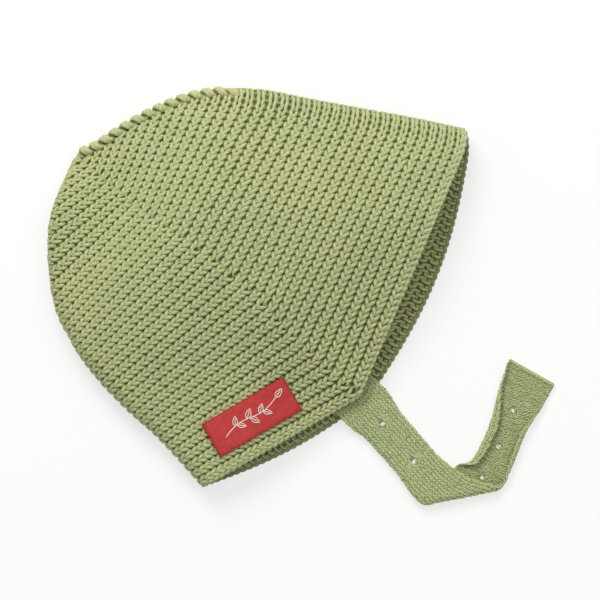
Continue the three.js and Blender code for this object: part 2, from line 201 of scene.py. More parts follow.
LOOP_SWAY = 0.265  # how far a loop bulges sideways, as a share of a column
LOOP_DRAW = 0.062  # how far its legs are drawn together
LOOP_DIVE = 0.4  # how much its head dives under the next loop and its foot rises over the last
LOOP_REACH = 0.82  # how far it reaches up and down, as a share of a row
LOOP_DEPTH = 0.62  # how far it swings in and out of the cloth's middle
LOOP_PLUMP = 0.3  # how much thicker its legs are than its head and foot
LOOP_STEPS = 14
STITCH_CHANCE = (0.03, 0.045, 0.05, 0.02)  # spread across, along, in and out, and of thickness
YARN_RADIUS = 0.7
YARN_SIDES = 6
YARN_END = 0.45  # what is left of a yarn's radius where it ends
STRETCHED_SWAY, STRETCHED_DEPTH = 0.75, 0.45  # shares that a stretched loop loses
STRETCHED_DRAW = -0.005  # and the change of its draw
STRETCHED_ROWS = 5.0  # rows from the top fold over which the loops are less and less stretched
LEAN_COLUMNS, LEAN_ROWS = 0.9, 5.0  # how far columns lean over at the top fold, and over which rows
LEAN_FROM = 8.0  # the column where they begin to lean; they lean fully at twice that
CROWN_YARN, CROWN_COLUMNS = 0.8, 12.0  # share of its thickness at the crown, and where it is full
PAINTED_LIGHT_RISE, PAINTED_LIGHT_COLUMNS = 0.6, 16.0  # painted light: how much prouder the crown's yarn counts, so that it gets less painted shade, and up to where
MITRE_HOLE, MITRE_REACH = 0.16, 1.1  # the small holes at every second column along the mitre


def loop_path(first, last, steps, stretched=0.0):
    """One row's yarn, from column first to column last: the way across grows evenly plus a sway of
    sin(2t), less sin(t), the way along the column is cos(t), and the depth is -cos(2t) less cos(t),
    so that the two legs of each loop stand out in a V and its head lies behind. The legs are also
    the plumpest. A stretched loop sways less and its legs lie closer, so that the columns become
    smooth ribs. Returns these three and the plumpness."""
    t = np.linspace(0, 2 * np.pi * (last - first), (last - first) * steps + 1) + np.pi
    sway = LOOP_SWAY * (1 - STRETCHED_SWAY * stretched)
    draw = LOOP_DRAW + STRETCHED_DRAW * stretched
    across = first + (t - np.pi) / (2 * np.pi) + sway * np.sin(2 * t) - draw * np.sin(t)
    depth = (-np.cos(2 * t) - LOOP_DIVE * np.cos(t)) * (1 - STRETCHED_DEPTH * stretched)
    return across, LOOP_REACH * np.cos(t), depth, 1 + LOOP_PLUMP * (0.5 - 0.5 * np.cos(2 * t))


def bent(column, row, facing):
    """Near the top fold the columns lean over to the crown: they shift that way by the square of what
    is left of the first rows, but not close to the crown itself."""
    left = np.clip(1 - row / LEAN_ROWS, 0, 1)
    return column - LEAN_COLUMNS * left**2 * smooth_step(column / LEAN_FROM - 1) * facing


def linked(name, mesh):
    """An object that holds the mesh, put into the scene."""
    piece = bpy.data.objects.new(name, mesh)
    bpy.context.scene.collection.objects.link(piece)
    return piece


def new_mesh(name, points, faces):
    """A smooth mesh from points in millimetres in the cap's own plan."""
    mesh = bpy.data.meshes.new(name)
    mesh.from_pydata((points + PLAN_SHIFT) * MM, [], faces)
    mesh.polygons.foreach_set("use_smooth", np.ones(len(faces), bool))
    return mesh


def yarn_mesh(name, centre, normal, runs, radius, off=None):
    """Six-sided tubes round centre lines: at each point a ring in the plane of the surface normal and
    of that normal crossed with the way along, closed at both ends. runs gives each tube's number of
    points. The map "yarn" holds millimetres along and turns round each tube; "OFBake" gives it a
    strip; the attribute "raised" is each point's height out of the cloth, from off at its centre."""
    count = len(centre)
    ends = np.cumsum(runs)
    starts = ends - runs
    tube = np.repeat(np.arange(len(runs)), runs)
    ahead = np.minimum(np.arange(count) + 1, ends[tube] - 1)
    behind = np.maximum(np.arange(count) - 1, starts[tube])
    along = unit(centre[ahead] - centre[behind])
    side = unit(np.cross(along, normal))
    up = np.cross(side, along)
    size = np.broadcast_to(radius, (count,)).copy()
    size[starts] *= YARN_END
    size[ends - 1] *= YARN_END
    turns = 2 * np.pi * np.arange(YARN_SIDES) / YARN_SIDES
    ring = np.cos(turns)[:, None] * side[:, None] + np.sin(turns)[:, None] * up[:, None]
    points = (centre[:, None] + ring * size[:, None, None]).reshape(-1, 3)

    here = np.setdiff1d(np.arange(count), ends - 1)
    k = np.arange(YARN_SIDES)
    after = (k + 1) % YARN_SIDES
    base, nxt = here[:, None] * YARN_SIDES, (here + 1)[:, None] * YARN_SIDES
    quads = np.stack([base + k, base + after, nxt + after, nxt + k], -1).reshape(-1, 4)
    low, high = starts[:, None] * YARN_SIDES, (ends - 1)[:, None] * YARN_SIDES
    # Two four-sided faces close each six-sided end.
    fans = [np.concatenate([low + [3, 2, 1, 0], low + [5, 4, 3, 0]]),
            np.concatenate([high + [0, 1, 2, 3], high + [0, 3, 4, 5]])]
    faces = np.concatenate([quads, *fans])

    step = np.linalg.norm(centre - centre[behind], axis=1)
    far = np.cumsum(step)
    far = far - far[starts][tube]
    u = np.concatenate([
        np.stack([far[here]] * 2 + [far[here + 1]] * 2, -1).repeat(YARN_SIDES, 0).ravel(),
        np.zeros(8 * len(runs)),
        far[ends - 1].repeat(4).tolist() * 2,
    ])
    v = np.concatenate([
        np.tile(np.stack([k, k + 1, k + 1, k], -1) / YARN_SIDES, (len(here), 1)).ravel(),
        np.tile([0.5, 0.33, 0.17, 0], len(runs)), np.tile([0.83, 0.67, 0.5, 0], len(runs)),
        np.tile([0, 0.17, 0.33, 0.5], len(runs)), np.tile([0, 0.5, 0.67, 0.83], len(runs)),
    ])
    rows = np.concatenate([
        tube[here].repeat(4 * YARN_SIDES), np.tile(np.arange(len(runs)).repeat(4), 4),
    ])
    # In "OFBake" each tube has a strip with a small gap round it, and its ends lie just beside that.
    beside = np.concatenate([
        np.zeros(4 * len(quads)),
        np.tile([-0.001, -0.002, -0.002, -0.001], 2 * len(runs)),
        np.tile([0.001, 0.002, 0.002, 0.001], 2 * len(runs)),
    ])
    mesh = new_mesh(name, points, faces)
    plain = mesh.uv_layers.new(name="OFBake")
    strip_u = 0.006 + 0.988 * u / far.max() + beside
    strip_v = (rows + 0.06 + 0.88 * v) / len(runs)
    plain.data.foreach_set("uv", np.stack([strip_u, strip_v], -1).ravel())
    wound = mesh.uv_layers.new(name="yarn")
    wound.data.foreach_set("uv", np.stack([u, v + 3 * rows], -1).ravel())
    # The attribute "raised" sets how much painted shade the yarn material gives each point.
    raised = mesh.attributes.new("raised", "FLOAT", "POINT")
    height = np.zeros(count) if off is None else off
    ring_rise = (ring * normal[:, None]).sum(-1) * size[:, None]
    raised.data.foreach_set("value", (height[:, None] + ring_rise).ravel().astype(np.float32))
    mesh.update()
    return linked(name, mesh)


def opened(column, row, holes, hole, reach):
    """Pushes points away from small holes: a distance r from a hole's middle becomes
    hole + r (1 - hole / reach), up to the reach."""
    for x, y in holes:
        dx, dy = column - x, row - y
        r = np.maximum(np.hypot(dx, dy), 1e-4)
        wider = np.where(r < reach, (hole + r * (1 - hole / reach)) / r, 1)
        column, row = x + dx * wider, y + dy * wider
    return column, row


def chance_moves(chance, across, first, last, spreads):
    """Moves by chance for each whole column, evened out between them, one set for each spread."""
    knots = np.arange(first, last + 1)
    return [np.interp(across, knots, chance.normal(0, spread, len(knots))) for spread in spreads]


def knitted_panel(name, rows, place, facing, seed):
    """Every row's yarn between a fold and the mitre, as tubes. place turns the share of the way from
    fold to mitre into a turn round the ring, and facing is 1 where the heads of the loops point to
    higher rows. Slight chance moves make the stitches hand-made. Towards the crown the yarn is
    thinner. It also counts as standing prouder of the cloth, so that it gets less painted shade:
    painted light on the crown."""
    fold, _, whole = row_limits(rows)
    chance = np.random.default_rng(seed)
    lines, runs = [], []
    for row in range(int(whole.max())):
        inside = np.flatnonzero((fold < row + 0.5) & (whole > row))
        if len(inside) < 2:
            continue
        stretched = 1 - smooth_step(row / STRETCHED_ROWS) if rows is FACE_ROWS else 0.0
        across, along, depth, plump = loop_path(inside[0], COLUMNS, LOOP_STEPS, stretched)
        moves = chance_moves(chance, across, inside[0], COLUMNS, STITCH_CHANCE)
        lines.append(np.stack([
            across + moves[0],
            row + 0.5 + facing * along + moves[1],
            depth * LOOP_DEPTH + moves[2],
            YARN_RADIUS * plump * (1 + moves[3]),
        ], -1))
        runs.append(len(across))
    column, row, off, radius = np.concatenate(lines).T
    holes = [(x + 0.5, whole[x]) for x in range(3, COLUMNS - 1, 2)]
    column, row = opened(column, row, holes, MITRE_HOLE, MITRE_REACH)
    column = np.clip(column, 0.05, COLUMNS + 0.3) * EDGE_COLUMN / COLUMNS
    turn = place(ring_share(column, row, rows))
    centre, normal = cap_cloth(bent(column, row, rows is FACE_ROWS), turn, off)
    narrow = CROWN_YARN + (1 - CROWN_YARN) * smooth_step(column / CROWN_COLUMNS)
    # Painted light: the crown's yarn counts as prouder than it is, so that it is paler.
    raised = off + PAINTED_LIGHT_RISE * (1 - smooth_step(column / PAINTED_LIGHT_COLUMNS))
    return yarn_mesh(name, centre, normal, np.array(runs), radius * narrow, raised)


# The cap's quarters: rows, the turn round the ring of a share of the way from fold to mitre, and
# which way the heads of the loops point.
QUARTERS = (
    ("cap_face_side_upper", FACE_ROWS, lambda share: share / 2, -1),
    ("cap_neck_side_upper", NECK_ROWS, lambda share: 1 - share / 2, 1),
    ("cap_neck_side_lower", NECK_ROWS, lambda share: 1 + share / 2, -1),
    ("cap_face_side_lower", FACE_ROWS, lambda share: -share / 2, 1),
)
knit_panels = [knitted_panel(*quarter, seed) for seed, quarter in enumerate(QUARTERS, 1)]


def add_node(tree, kind, inputs, **settings):
    """A node of a shader tree. Each input is set to a value or joined to another node's output."""
    node = tree.nodes.new(kind)
    for key, value in settings.items():
        setattr(node, key, value)
    for key, value in inputs.items():
        if isinstance(value, bpy.types.NodeSocket):
            tree.links.new(value, node.inputs[key])
        else:
            node.inputs[key].default_value = value
    return node


def sums(tree, operation, *values, clamp=False):
    """The result of one sum on values and outputs."""
    inputs = dict(enumerate(values))
    return add_node(tree, "ShaderNodeMath", inputs, operation=operation, use_clamp=clamp).outputs[0]


def noise(tree, vector, scale, detail, **inputs):
    """Noise from 0 to 1 at a scale."""
    inputs.update(Vector=vector, Scale=scale, Detail=detail)
    return add_node(tree, "ShaderNodeTexNoise", inputs).outputs["Fac"]


def ply_group():
    """Shader group for plied yarn. Each ply is a ridge |sin| of turns round the yarn plus millimetres
    along it over the pitch, times the number of plies, and fine noise drawn out along the plies
    makes fibres. Puts out the ridges' height, the fibres and a slow change of tone along the yarn."""
    tree = bpy.data.node_groups.new("plied_yarn", "ShaderNodeTree")
    face = tree.interface
    face.new_socket("Plies", in_out="INPUT", socket_type="NodeSocketFloat").default_value = 3
    face.new_socket("Pitch", in_out="INPUT", socket_type="NodeSocketFloat").default_value = 5
    for out in ("Height", "Fibre", "Tone"):
        face.new_socket(out, in_out="OUTPUT", socket_type="NodeSocketFloat")
    inside = tree.nodes.new("NodeGroupInput")
    wound = add_node(tree, "ShaderNodeUVMap", {}, uv_map="yarn").outputs["UV"]
    split = add_node(tree, "ShaderNodeSeparateXYZ", {0: wound})
    along, around = split.outputs["X"], split.outputs["Y"]
    wind = sums(tree, "ADD", around, sums(tree, "DIVIDE", along, inside.outputs["Pitch"]))
    plies = sums(tree, "MULTIPLY", wind, inside.outputs["Plies"])
    ridge = sums(tree, "ABSOLUTE", sums(tree, "SINE", sums(tree, "MULTIPLY", plies, np.pi)))
    drawn_out = add_node(tree, "ShaderNodeCombineXYZ", {
        "X": sums(tree, "MULTIPLY", along, 0.35), "Y": sums(tree, "MULTIPLY", wind, 9.0),
    })
    fibre = add_node(tree, "ShaderNodeMapRange", {
        "Value": noise(tree, drawn_out.outputs[0], 2.2, 3), "From Min": 0.33, "From Max": 0.67,
    })
    add_node(tree, "NodeGroupOutput", {
        "Height": ridge, "Fibre": fibre.outputs["Result"], "Tone": noise(tree, wound, 0.11, 2),
    })
    return tree


PLIED_YARN = ply_group()


def mixed(tree, factor, first, second):
    """A colour from the first to the second by a factor. Each is three numbers or an output."""
    first, second = (v if isinstance(v, bpy.types.NodeSocket) else (*v, 1) for v in (first, second))
    inputs = {"Factor": factor, "A": first, "B": second}
    return add_node(tree, "ShaderNodeMix", inputs, data_type="RGBA").outputs["Result"]


def new_material(name, constants):
    """A material whose Principled shader has these constants, and its tree."""
    material = bpy.data.materials.new(name)
    material.use_nodes = True
    for key, value in constants.items():
        material.node_tree.nodes["Principled BSDF"].inputs[key].default_value = value
    return material, material.node_tree


def surface(tree, colour, height, depth, strength=1.0):
    """Joins the colour, and a height as bump of some millimetres, to the tree's shader."""
    inputs = {"Height": height, "Distance": depth * MM, "Strength": strength}
    relief = add_node(tree, "ShaderNodeBump", inputs)
    tree.links.new(colour, tree.nodes["Principled BSDF"].inputs["Base Color"])
    tree.links.new(relief.outputs["Normal"], tree.nodes["Principled BSDF"].inputs["Normal"])


PAINTED_SHADE_SHARE, PAINTED_SHADE_DARK = 0.65, 0.45  # how much of the painted shade's colour shows at most, and how dark it is
PAINTED_SHADE_FROM = -0.1  # the height where the painted shade is full, below any there is


def yarn_material(name, dark, light, warm, pitch, bump, roughness, proud):
    """Dyed yarn: a mix from dark to light by ply ridge, fibre and slow tone, warmed a little in broad
    patches, with the ridges and fibres as bump and a soft sheen. The ply ridge's share of the mix is
    painted shade in the grooves between plies. Where the yarn lies deep in the cloth, below the height
    proud on either side, painted shade darkens it towards a darker copy of dark."""
    material, tree = new_material(name, {
        "Roughness": roughness, "Sheen Weight": 0.15, "Sheen Roughness": 0.5,
        "Sheen Tint": (0.85, 0.9, 0.5, 1), "Specular IOR Level": 0.2,
    })
    ply = add_node(tree, "ShaderNodeGroup", {"Pitch": pitch}, node_tree=PLIED_YARN).outputs
    # The ply ridges' part of the mix is painted shade in the grooves between plies; fibre and tone are
    # the yarn's own.
    fine = sums(tree, "MULTIPLY_ADD", ply["Fibre"], 0.6, -0.05)
    relief = sums(tree, "MULTIPLY_ADD", ply["Height"], 0.4, fine)
    shade = sums(tree, "MULTIPLY_ADD", ply["Tone"], 0.5, relief, clamp=True)
    place = add_node(tree, "ShaderNodeTexCoord", {}).outputs["Object"]
    patches = add_node(tree, "ShaderNodeMapRange", {
        "Value": noise(tree, place, 28, 2), "From Min": 0.4, "From Max": 0.72, "To Max": 0.5,
    })
    dyed = mixed(tree, patches.outputs["Result"], mixed(tree, shade, dark, light), warm)
    # Painted shade: yarn deep in the cloth is mixed towards a darker copy of its dark colour.
    raised = add_node(tree, "ShaderNodeAttribute", {}, attribute_name="raised").outputs["Fac"]
    painted_shade = add_node(tree, "ShaderNodeMapRange", {
        "Value": sums(tree, "ABSOLUTE", raised), "From Min": PAINTED_SHADE_FROM, "From Max": proud,
        "To Min": PAINTED_SHADE_SHARE, "To Max": 0,
    }, interpolation_type="SMOOTHSTEP")
    colour = mixed(tree, painted_shade.outputs["Result"], dyed, [PAINTED_SHADE_DARK * v for v in dark])
    surface(tree, colour, relief, bump, 0.6)
    return material


cap_yarn = yarn_material(
    "cap_yarn", dark=(0.19, 0.23, 0.07), light=(0.51, 0.565, 0.29), warm=(0.54, 0.52, 0.25),
    pitch=4.2, bump=0.3, roughness=0.8, proud=1.15,
)
for panel in knit_panels:
    panel.data.materials.append(cap_yarn)
    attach(panel, "root")
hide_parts("cap")

# ---- the cap's ground ----
# Between the stitches the yarn's own fuzz closes the cloth, so that no daylight shows through it. It
# is a thin skin in the middle of the knitting, closed at the crown corner and open at the edge. Its
# colour is far darker than the yarn's: painted shade in the gaps between the stitches.
GROUND_RINGS, GROUND_TURNS = 110, 200
GROUND_OFF = -0.35
GROUND_SKIN = 0.4
GROUND_CLOSER = 0.012  # how much closer its points stand at the mitre


def walled(piece, thickness):
    """Gives a sheet its thickness in millimetres, half to each side."""
    wall = piece.modifiers.new("wall", "SOLIDIFY")
    wall.thickness = thickness * MM
    wall.offset = 0
    return piece


def cap_ground():
    """Rings of the cap's cloth, a little inside its middle, from the crown corner to the last column,
    with the same lean at the top fold, joined by four-sided faces and given a thickness."""
    column = np.linspace(0.15, EDGE_COLUMN - 0.1, GROUND_RINGS)[:, None]
    around = 2 * np.arange(GROUND_TURNS) / GROUND_TURNS
    turn = around + GROUND_CLOSER * np.sin(2 * np.pi * around)
    row = 2 * np.minimum(turn, 2 - turn) * read_table(column[:, 0], RING_AT, FACE_ROWS)[:, 1:]
    leaning = bent(column + 0 * turn, row, 1)
    points, _ = cap_cloth(leaning, turn + 0 * column, np.full(leaning.shape, GROUND_OFF))
    ring = np.arange(GROUND_RINGS - 1)[:, None] * GROUND_TURNS
    k = np.arange(GROUND_TURNS)
    after = (k + 1) % GROUND_TURNS
    faces = np.stack([ring + k, ring + after, ring + GROUND_TURNS + after, ring + GROUND_TURNS + k], -1)
    faces = faces.reshape(-1, 4).tolist() + [k[::-1].tolist()]
    mesh = new_mesh("cap_ground", points.reshape(-1, 3), faces)
    return walled(linked("cap_ground", mesh), GROUND_SKIN)


def shaded_fuzz_material(name, dark, light):
    """Matted fibres in painted shade: fine noise on object coordinates, as colour from dark to light
    and as bump, with colours darker than the yarn's.
    """
    material, tree = new_material(name, {
        "Roughness": 0.95, "Sheen Weight": 0.3, "Specular IOR Level": 0.15,
    })
    place = add_node(tree, "ShaderNodeTexCoord", {}).outputs["Object"]
    fibres = noise(tree, place, 1900, 4)
    surface(tree, mixed(tree, fibres, dark, light), fibres, 0.1)
    return material


cap_skin = cap_ground()
# Painted shade: the skin is coloured far darker than the cap's yarn.
cap_skin.data.materials.append(shaded_fuzz_material("cap_fuzz_painted_shade", (0.05, 0.065, 0.012), (0.15, 0.18, 0.05)))
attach(cap_skin, "root")

# ---- the crown seam ----
# Where rows run out along the top, between the crown corner and the first third of the top fold,
# the two sides are joined by an overcast seam of the same yarn. It stands up as slanting ribs.
SEAM_START, SEAM_END = 0.5, 14.5  # from the crown to the column where it fades into the fold
SEAM_PITCH = 5.3
SEAM_RADIUS = 1.25
SEAM_OFF = 1.5
SEAM_INSET = 4.3  # how far it lies from the fold, round the cloth
SEAM_TAPER = 12.0  # the length over which it fades
SEAM_STRANDS = 2
SEAM_LAG = 0.24  # how far the second strand lags, as a share of the pitch
SEAM_STEPS = 16
SEAM_YARN, SEAM_RAISED = 1.2, 0.6


def way_along(line):
    """The length of a line of points from its start to each point."""
    return np.concatenate([[0], np.cumsum(np.linalg.norm(np.diff(line, axis=0), axis=1))])


def seam_path(strand):
    """A helix round a line on the cap's cloth, a fixed way in from the fold: its arm turns once in
    each pitch, and both arm and height shorten towards the end."""
    columns = np.linspace(SEAM_START, SEAM_END, 400)
    long_way = np.linalg.norm(read_table(columns, RING_AT, RING_MITRE - RING_TOP), axis=1)
    inset = 0.5 * np.minimum(SEAM_INSET / long_way, 0.3)
    far = way_along(cap_wall(columns, inset))
    left = smooth_step((far[-1] - far) / SEAM_TAPER)
    line, out = cap_cloth(columns, inset, SEAM_OFF * left)
    at = np.linspace(0, far[-1], int(far[-1] / SEAM_PITCH * SEAM_STEPS))
    middle, up = (np.stack([np.interp(at, far, part) for part in v.T], -1) for v in (line, out))
    side = unit(np.cross(np.gradient(middle, axis=0), up))
    angle = -2 * np.pi * (at / SEAM_PITCH + strand * SEAM_LAG)
    arm = SEAM_RADIUS * (0.5 + 0.5 * np.interp(at, far, left))
    direction = np.cos(angle)[:, None] * side + np.sin(angle)[:, None] * up
    return middle + direction * arm[:, None], direction


def joined_yarns(name, paths, radius, raised):
    """Several yarns as one mesh, each a centre line and its normals, with one radius and height."""
    centre, normal = (np.concatenate(parts) for parts in zip(*paths))
    runs = np.array([len(line) for line, _ in paths])
    return yarn_mesh(name, centre, normal, runs, radius, np.full(len(centre), raised))


strands = [seam_path(strand) for strand in range(SEAM_STRANDS)]
seam = joined_yarns("cap_crown_seam", strands, SEAM_YARN, SEAM_RAISED)
seam.data.materials.append(cap_yarn)
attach(seam, "root")

# ---- the overcast folds ----
# Below that ridge, and along the back fold near the crown, the ends of the rows of both sides are
# drawn together with close overcast stitches that cross the fold from side to side.
OVERCAST_PITCH = 2.2
OVERCAST_REACH = 3.4  # how far it crosses to either side, round the cloth
OVERCAST_OFF = 0.55
OVERCAST_TAPER = 10.0  # the length over which it fades
OVERCAST_STEPS = 18
OVERCAST_YARN, OVERCAST_RAISED = 0.6, 0.45
OVERCAST_START, TOP_END, BACK_END = 0.25, 14.5, 17.0  # first column, and the last on either fold


def overcast_path(edge, fold, way, end):
    """A zigzag along a fold, on the cloth's outside: the turn is the fold's plus a sine of the way
    along it, as a share of the line from fold to mitre, and fades out at the last column."""
    columns = np.linspace(OVERCAST_START, end, 300)
    far = way_along(cap_wall(columns, np.full(len(columns), fold)))
    at = np.linspace(0, far[-1], int(far[-1] / OVERCAST_PITCH * OVERCAST_STEPS))
    column = np.interp(at, far, columns)
    long_way = np.linalg.norm(read_table(column, RING_AT, RING_MITRE - edge), axis=1)
    reach = OVERCAST_REACH * smooth_step((far[-1] - at) / OVERCAST_TAPER)
    swing = way * np.sin(2 * np.pi * at / OVERCAST_PITCH)
    turn = fold + 0.5 * np.minimum(reach / long_way, 0.45) * swing
    return cap_cloth(column, turn, np.full(len(at), OVERCAST_OFF))


joins = [overcast_path(RING_TOP, 0.0, 1, TOP_END), overcast_path(RING_BACK, 1.0, -1, BACK_END)]
overcast = joined_yarns("cap_overcast", joins, OVERCAST_YARN, OVERCAST_RAISED)
overcast.data.materials.append(cap_yarn)
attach(overcast, "root")

# ---- the selvedge ----
# Along the face and neck edge the yarn of each row turns back into the next one. The turns make a
# plain edge of small bumps on both sides of the opening.
SELVEDGE_STEPS = 10
SELVEDGE_OUT, SELVEDGE_DEPTH = 0.05, 0.25  # the wave out past the edge and through the cloth
SELVEDGE_YARN, SELVEDGE_RAISED = 0.95, 0.5


def selvedge_path(rows, place):
    """The turned yarn along one quarter's edge: one wave for each row, out past the last column and
    in again, and a quarter of a wave behind it up and down through the cloth."""
    count = int(row_limits(rows)[2][-1])
    row = np.linspace(0, count, count * SELVEDGE_STEPS + 1)
    column = EDGE_COLUMN + SELVEDGE_OUT * np.cos(2 * np.pi * row)
    turn = place(ring_share(np.full(len(row), EDGE_COLUMN), row, rows))
    depth = SELVEDGE_DEPTH * np.sin(2 * np.pi * row)
    return cap_cloth(bent(column, row, rows is FACE_ROWS), turn, depth)


edges = [selvedge_path(rows, place) for _, rows, place, _ in QUARTERS]
selvedge = joined_yarns("cap_selvedge", edges, SELVEDGE_YARN, SELVEDGE_RAISED)
selvedge.data.materials.append(cap_yarn)
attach(selvedge, "root")

# ---- the chin strap ----
# The strap is knitted from the chin corner in a finer yarn of the same colour, 14 stitches wide, with
# five eyelets along it. It curls along its side edges and is folded over once, so that the outer
# half lies with its purl side up on the table.
STRAP_AT = np.array([-7, 0, 9, 13, 25, 36, 45, 52, 59, 66, 71, 78, 88, 99, 110, 124.4])
STRAP_HEADING = np.array(
    [-46, -44.5, -47, -50, -48, -51, -46, -40, -27, -15, -21, -36, -44, -46, -43, -38]
)
STRAP_LIFT = np.array([-0.4, -0.3, -0.6, -0.9, -1.05, -0.95, -0.4, 0, 0, 0, 0, 0, 0, 0, 0, 0])
STRAP_OUTER = np.array([0, 0.1, 0.45, 0.6, 0.65, 0.65, 0.5, 0.35, 0.15, 0, 0.3, 0.85, 1, 1, 0.7, 0.3])
STRAP_INNER = np.array(
    [0, 0.1, 0.45, 0.6, 0.65, 0.65, 0.5, 0.35, 0.15, 0.1, 0.3, 0.6, 0.75, 0.75, 0.45, 0.1]
)
MIDDLE_STEP = 0.5  # the steps in which the headings are added up
STRAP_WIDTH = 22.5
STRAP_START = np.array([25.5, -40.6])
CREASE_AT = 59.6
CREASE_ANGLE = np.radians(11.3)
CREASE_RADIUS = 1.9
CREASE_HEIGHT = 2.9
ROLL_RADIUS = 1.3
ROLL_LENGTH = 5.75
EYELETS = (13.4, 34.4, 74.2, 89.1, 106.2)
STRAP_STITCHES = 14
STRAP_ROW = 1.4
STRAP_LOOP_STEPS = 11
STRAP_LOOP_DEPTH = 0.34
STRAP_CHANCE = (0.13, 0.17, 0.11)  # chance moves across, along, and in and out
STRAP_YARN = 0.29
EYELET_HOLE, EYELET_REACH = 1.35, 4.0
HEM_YARN, HEM_RAISED = 0.72, 0.35
HEM_INSET, HEM_WAVE = 0.25, 0.12


def strap_table(at, column):
    """The strap's table read smoothly at places along it."""
    return read_table(np.clip(at, STRAP_AT[0], STRAP_AT[-1]), STRAP_AT, column[:, None])[..., 0]


middle_at = np.arange(STRAP_AT[0], STRAP_AT[-1] + MIDDLE_STEP / 2, MIDDLE_STEP)
middle_way = np.radians(strap_table(middle_at[:-1] + MIDDLE_STEP / 2, STRAP_HEADING))
middle_line = np.concatenate([
    [[0, 0]], np.cumsum(MIDDLE_STEP * np.stack([np.cos(middle_way), np.sin(middle_way)], -1), axis=0),
])
middle_line += STRAP_START - [np.interp(0, middle_at, middle_line[:, axis]) for axis in range(2)]


def strap_middle(at):
    """The flat strap's middle line: its headings added up step by step."""
    return np.stack([np.interp(at, middle_at, middle_line[:, axis]) for axis in range(2)], -1)


def strap_cloth(at, across, off):
    """A point of the strap. across is -1 to 1: past the level web the edge rolls in a circle towards
    the purl side, and what is left after half a turn lies back over the web. The strip is then
    carried round the crease: level above, half a turn of the crease radius, and level below."""
    roll = np.where(across < 0, strap_table(at, STRAP_OUTER), strap_table(at, STRAP_INNER))
    rolled = np.maximum(roll, 0)
    web = STRAP_WIDTH / 2 - ROLL_LENGTH * rolled
    distance = np.abs(across) * STRAP_WIDTH / 2
    rolled_angle = np.maximum(distance - web, 0) / ROLL_RADIUS
    angle = np.minimum(rolled_angle, np.pi)
    doubled = (rolled_angle - angle) * ROLL_RADIUS
    side = np.sign(across) * (np.minimum(distance, web) + (ROLL_RADIUS + off) * np.sin(angle) - doubled)
    height = (ROLL_RADIUS + off) * np.cos(angle) - ROLL_RADIUS
    heading = np.radians(strap_table(at, STRAP_HEADING))
    flat = strap_middle(at) + side[..., None] * np.stack([-np.sin(heading), np.cos(heading)], -1)
    line = np.array([np.cos(CREASE_ANGLE), np.sin(CREASE_ANGLE)])
    crossing = strap_middle(np.array(CREASE_AT))
    flat = flat - crossing
    past = flat[..., 0] * line[1] - flat[..., 1] * line[0]
    lengthwise = flat @ line
    bend = np.clip(past / CREASE_RADIUS, -np.pi / 2, np.pi / 2)
    level = np.maximum(np.abs(past) - CREASE_RADIUS * np.pi / 2, 0)
    outside = (CREASE_RADIUS + height) * np.cos(bend) - level
    return np.stack([
        crossing[0] + lengthwise * line[0] + outside * line[1],
        crossing[1] + lengthwise * line[1] - outside * line[0],
        CREASE_HEIGHT - (CREASE_RADIUS + height) * np.sin(bend) + strap_table(at, STRAP_LIFT),
    ], -1)


def on_strap(at, across, off):
    """A point of the strap and the way out of its cloth there, from a point to either side."""
    out = unit(strap_cloth(at, across, off + 0.3) - strap_cloth(at, across, off - 0.3))
    return strap_cloth(at, across, off), out


def knitted_strap():
    """Every row of the strap as one tube, crossing it from edge to edge, on the strap's surface."""
    chance = np.random.default_rng(7)
    rows = int((STRAP_AT[-1] - STRAP_AT[0]) / STRAP_ROW)
    across, along, depth, plump = loop_path(0, STRAP_STITCHES, STRAP_LOOP_STEPS)
    lines = []
    for row in range(rows):
        moves = chance_moves(chance, across, 0, STRAP_STITCHES, STRAP_CHANCE)
        lines.append(np.stack([
            (across + moves[0]) / STRAP_STITCHES * 2 - 1,
            STRAP_AT[0] + (row + 0.5 + along + moves[1]) * STRAP_ROW,
            depth * STRAP_LOOP_DEPTH + moves[2],
            STRAP_YARN * plump,
        ], -1))
    width, at, off, radius = np.concatenate(lines).T
    holes = [(0, place) for place in EYELETS]
    width, at = opened(width * STRAP_WIDTH / 2, at, holes, EYELET_HOLE, EYELET_REACH)
    centre, normal = on_strap(at, np.clip(width / STRAP_WIDTH * 2, -1.02, 1.02), off)
    return yarn_mesh("strap_knitting", centre, normal, np.full(rows, len(across)), radius, off)


def strap_hem():
    """The cast-off: one plump yarn along the strap's end, from edge to edge, with a small wave."""
    across = np.linspace(-0.99, 0.99, 120)
    at = STRAP_AT[-1] - HEM_INSET + HEM_WAVE * np.sin(across * STRAP_STITCHES * np.pi)
    return joined_yarns("strap_hem", [on_strap(at, across, 0 * at)], HEM_YARN, HEM_RAISED)


strap = knitted_strap()
strap_yarn = yarn_material(
    "strap_yarn", dark=(0.19, 0.235, 0.08), light=(0.50, 0.57, 0.30), warm=(0.50, 0.52, 0.26),
    pitch=2.4, bump=0.14, roughness=0.85, proud=0.35,
)
strap.data.materials.append(strap_yarn)
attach(strap, "root")
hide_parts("strap")
hem = strap_hem()
hem.data.materials.append(strap_yarn)
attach(hem, "root")

# ---- the strap's ground ----
# Between the fine stitches the yarn's own fuzz closes the cloth. It is a thin sheet in the middle of
# the knitting, with the same eyelets, and stands for the strap's cloth as it would be cut flat. Its
# colour is darker than the yarn's: painted shade between the stitches.
GROUND_CELL = 0.75
GROUND_THICKNESS = 0.35
GROUND_HOLE, GROUND_GAP = 0.6, 0.5  # an eyelet in it, and the cells left out there


def lay_map(mesh, name, places):
    """A UV map that holds each point's place."""
    layer = mesh.uv_layers.new(name=name)
    corner = np.empty(len(mesh.loops), int)
    mesh.loops.foreach_get("vertex_index", corner)
    layer.data.foreach_set("uv", places[corner].ravel())


